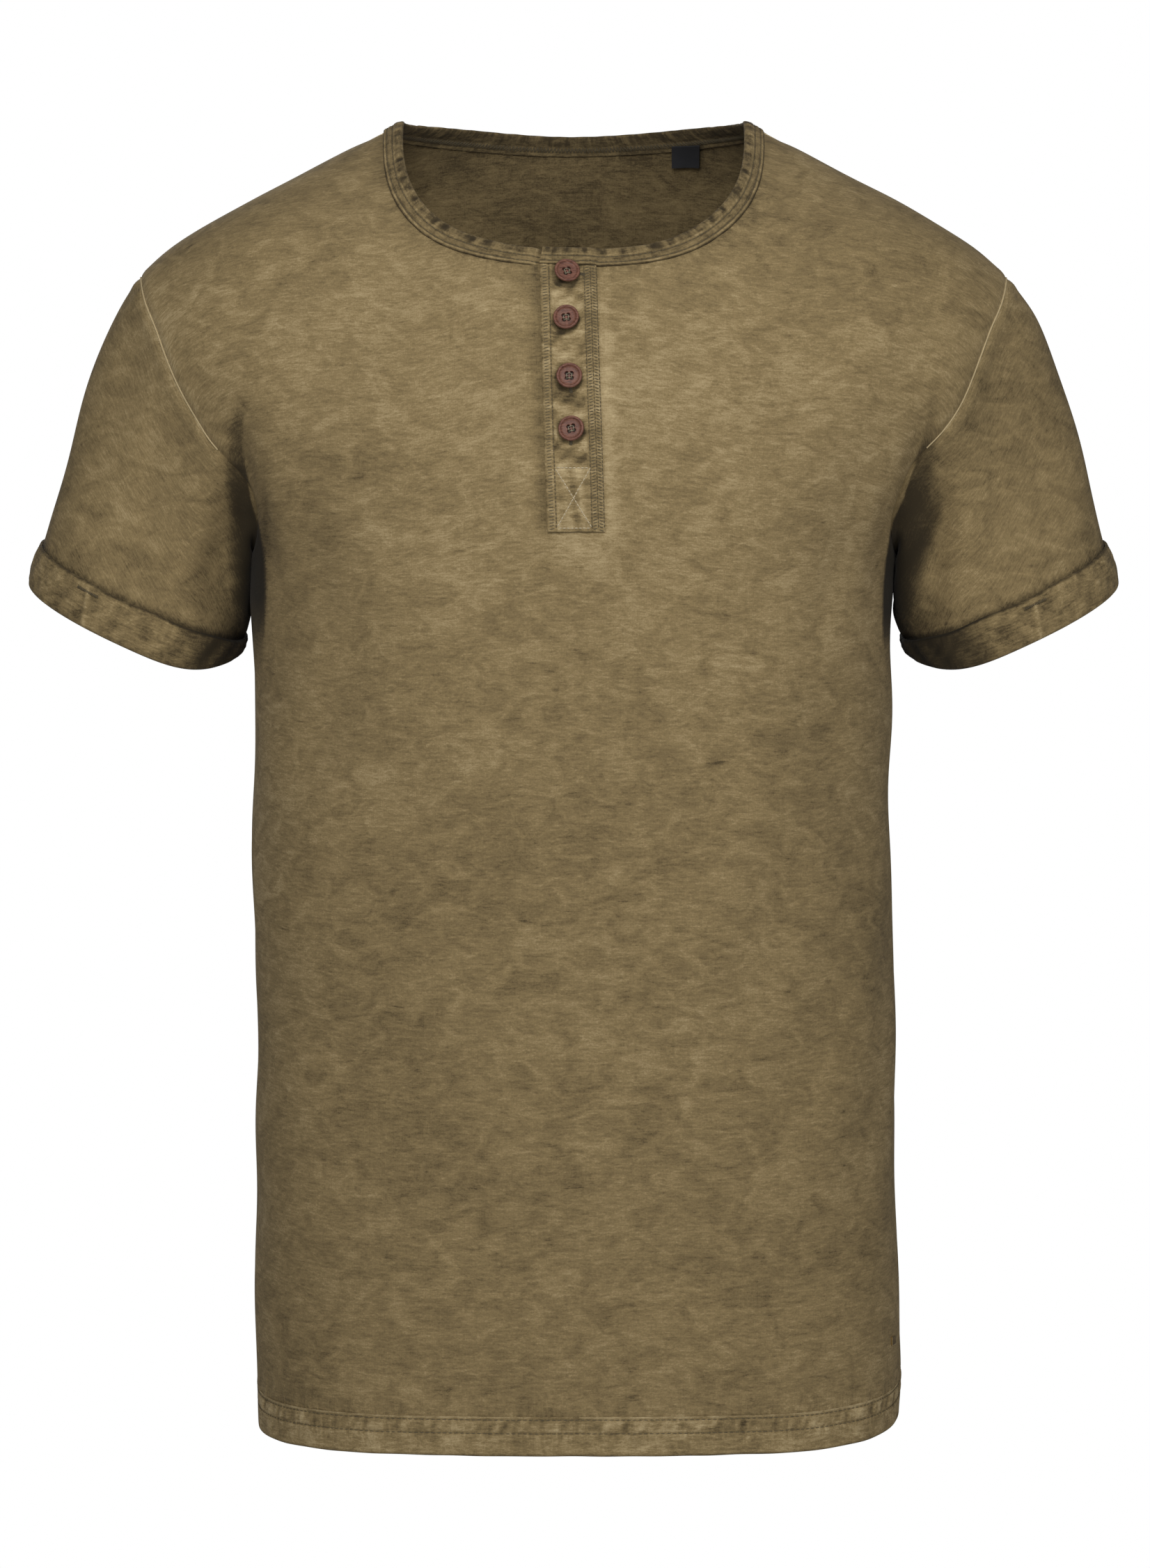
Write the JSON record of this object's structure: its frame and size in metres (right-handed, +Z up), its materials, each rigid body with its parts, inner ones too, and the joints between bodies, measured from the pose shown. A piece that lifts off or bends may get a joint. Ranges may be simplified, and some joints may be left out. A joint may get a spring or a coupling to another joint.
{
  "type": "short-sleeved henley t-shirt",
  "caption": "Short-sleeved jersey henley t-shirt with a round neck band, a buttoned placket and turned-up cuffs, filled out as if worn and hollow inside.",
  "frame": {"origin": "midway between the two shoulder points beside the neck, at their level, where the wearer's shoulders carry the cloth", "axes": "+Z up, the front faces -Y, +X is the viewer's right, which is the wearer's left side"},
  "size_m": [0.588, 0.2447, 0.7073],
  "materials": {
    "cloth": "garment-dyed olive khaki cotton jersey, mottled and worn paler along its seams",
    "placket": "the same jersey, doubled and top-stitched",
    "band": "the same jersey, doubled, darker in the puckers along its stitching",
    "button": "reddish brown horn-like plastic with a raised rim and four thread holes, satin",
    "label": "black woven tape, plain",
    "brass": "dull brass, plain"
  },
  "bodies": {
    "root": {"front": "cloth", "back": "cloth", "sleeve_left": "cloth", "sleeve_right": "cloth", "cuff_left": "cloth", "cuff_right": "cloth", "neck_band": "band", "placket_over": "placket", "placket_under": "placket", "button_1": "button", "button_2": "button", "button_3": "button", "button_4": "button", "size_label": "label", "hem_plate": "brass"}
  },
  "joints": []
}
